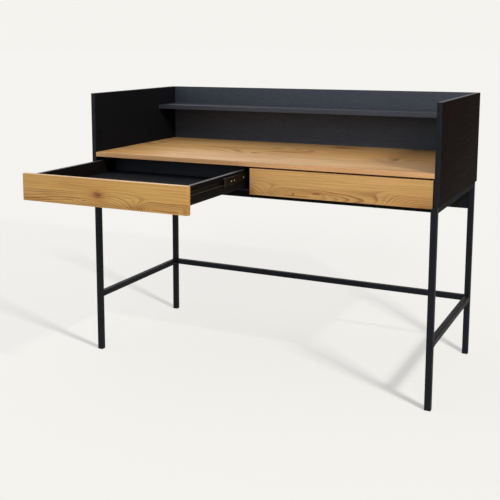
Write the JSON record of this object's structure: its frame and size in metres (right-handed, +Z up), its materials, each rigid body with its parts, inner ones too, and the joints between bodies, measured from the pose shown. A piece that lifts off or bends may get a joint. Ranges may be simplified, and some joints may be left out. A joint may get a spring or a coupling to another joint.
{
  "type": "writing desk with drawers",
  "caption": "Writing desk with raised black sides, a rear shelf, an oak worktop and oak-fronted drawers on telescopic runners, on a square steel tube frame.",
  "frame": {"origin": "centre of the footprint of the whole desk with the left drawer standing open, at floor level", "axes": "+X to the right of the person sitting at the desk, along its width; +Y away from them, towards the back panel; +Z up"},
  "size_m": [1.25, 1, 0.954],
  "materials": {
    "oak_veneer": "clear matt lacquered oak with visible grain",
    "black_board": "black stained fine-grained board, matt",
    "black_steel_frame": "black powder coat, fine texture",
    "runner_steel": "black coated pressed steel",
    "black_plastic": "matt moulded plastic"
  },
  "bodies": {
    "carcass_and_frame": {"back_panel": "black_board", "carcass_floor": "black_board", "centre_divider": "black_board", "glide_front_left": "black_plastic", "glide_front_right": "black_plastic", "glide_rear_left": "black_plastic", "glide_rear_right": "black_plastic", "leg_front_left": "black_steel_frame", "leg_front_right": "black_steel_frame", "leg_rear_left": "black_steel_frame", "leg_rear_right": "black_steel_frame", "rear_apron": "black_board", "rear_shelf": "black_board", "runner_left_inner_cabinet": "runner_steel", "runner_left_outer_cabinet": "runner_steel", "runner_right_inner_cabinet": "runner_steel", "runner_right_outer_cabinet": "runner_steel", "side_panel_left": "black_board", "side_panel_right": "black_board", "stretcher_left": "black_steel_frame", "stretcher_rear": "black_steel_frame", "stretcher_right": "black_steel_frame", "top_rail_front": "black_steel_frame", "top_rail_left": "black_steel_frame", "top_rail_rear": "black_steel_frame", "top_rail_right": "black_steel_frame", "worktop": "oak_veneer"},
    "drawer_left": {"drawer_left_back": "black_board", "drawer_left_floor": "black_board", "drawer_left_front": "oak_veneer", "drawer_left_inner_front": "black_board", "drawer_left_side_left": "black_board", "drawer_left_side_right": "black_board", "runner_left_inner_drawer": "runner_steel", "runner_left_outer_drawer": "runner_steel"},
    "runner_left_outer_middle_member": {"runner_left_outer_middle": "runner_steel", "runner_left_outer_stop": "black_plastic"},
    "runner_left_inner_middle_member": {"runner_left_inner_middle": "runner_steel", "runner_left_inner_stop": "black_plastic"},
    "drawer_right": {"drawer_right_back": "black_board", "drawer_right_floor": "black_board", "drawer_right_front": "oak_veneer", "drawer_right_inner_front": "black_board", "drawer_right_side_left": "black_board", "drawer_right_side_right": "black_board", "runner_right_inner_drawer": "runner_steel", "runner_right_outer_drawer": "runner_steel"},
    "runner_right_outer_middle_member": {"runner_right_outer_middle": "runner_steel", "runner_right_outer_stop": "black_plastic"},
    "runner_right_inner_middle_member": {"runner_right_inner_middle": "runner_steel", "runner_right_inner_stop": "black_plastic"}
  },
  "joints": [
    {"name": "drawer_left_slide", "type": "slide", "parent": "carcass_and_frame", "child": "drawer_left", "axis": [0, -1, 0], "range_m": [-0.418, 0.082]},
    {"name": "runner_left_outer_slide", "type": "slide", "parent": "carcass_and_frame", "child": "runner_left_outer_middle_member", "axis": [0, -1, 0], "range_m": [-0.209, 0.041]},
    {"name": "runner_left_inner_slide", "type": "slide", "parent": "carcass_and_frame", "child": "runner_left_inner_middle_member", "axis": [0, -1, 0], "range_m": [-0.209, 0.041]},
    {"name": "drawer_right_slide", "type": "slide", "parent": "carcass_and_frame", "child": "drawer_right", "axis": [0, -1, 0], "range_m": [0, 0.5]},
    {"name": "runner_right_outer_slide", "type": "slide", "parent": "carcass_and_frame", "child": "runner_right_outer_middle_member", "axis": [0, -1, 0], "range_m": [0, 0.25]},
    {"name": "runner_right_inner_slide", "type": "slide", "parent": "carcass_and_frame", "child": "runner_right_inner_middle_member", "axis": [0, -1, 0], "range_m": [0, 0.25]}
  ],
  "couplings": [
    {"joint": "runner_left_outer_slide", "follows": "drawer_left_slide", "ratio": 0.5},
    {"joint": "runner_left_inner_slide", "follows": "drawer_left_slide", "ratio": 0.5},
    {"joint": "runner_right_outer_slide", "follows": "drawer_right_slide", "ratio": 0.5},
    {"joint": "runner_right_inner_slide", "follows": "drawer_right_slide", "ratio": 0.5}
  ]
}
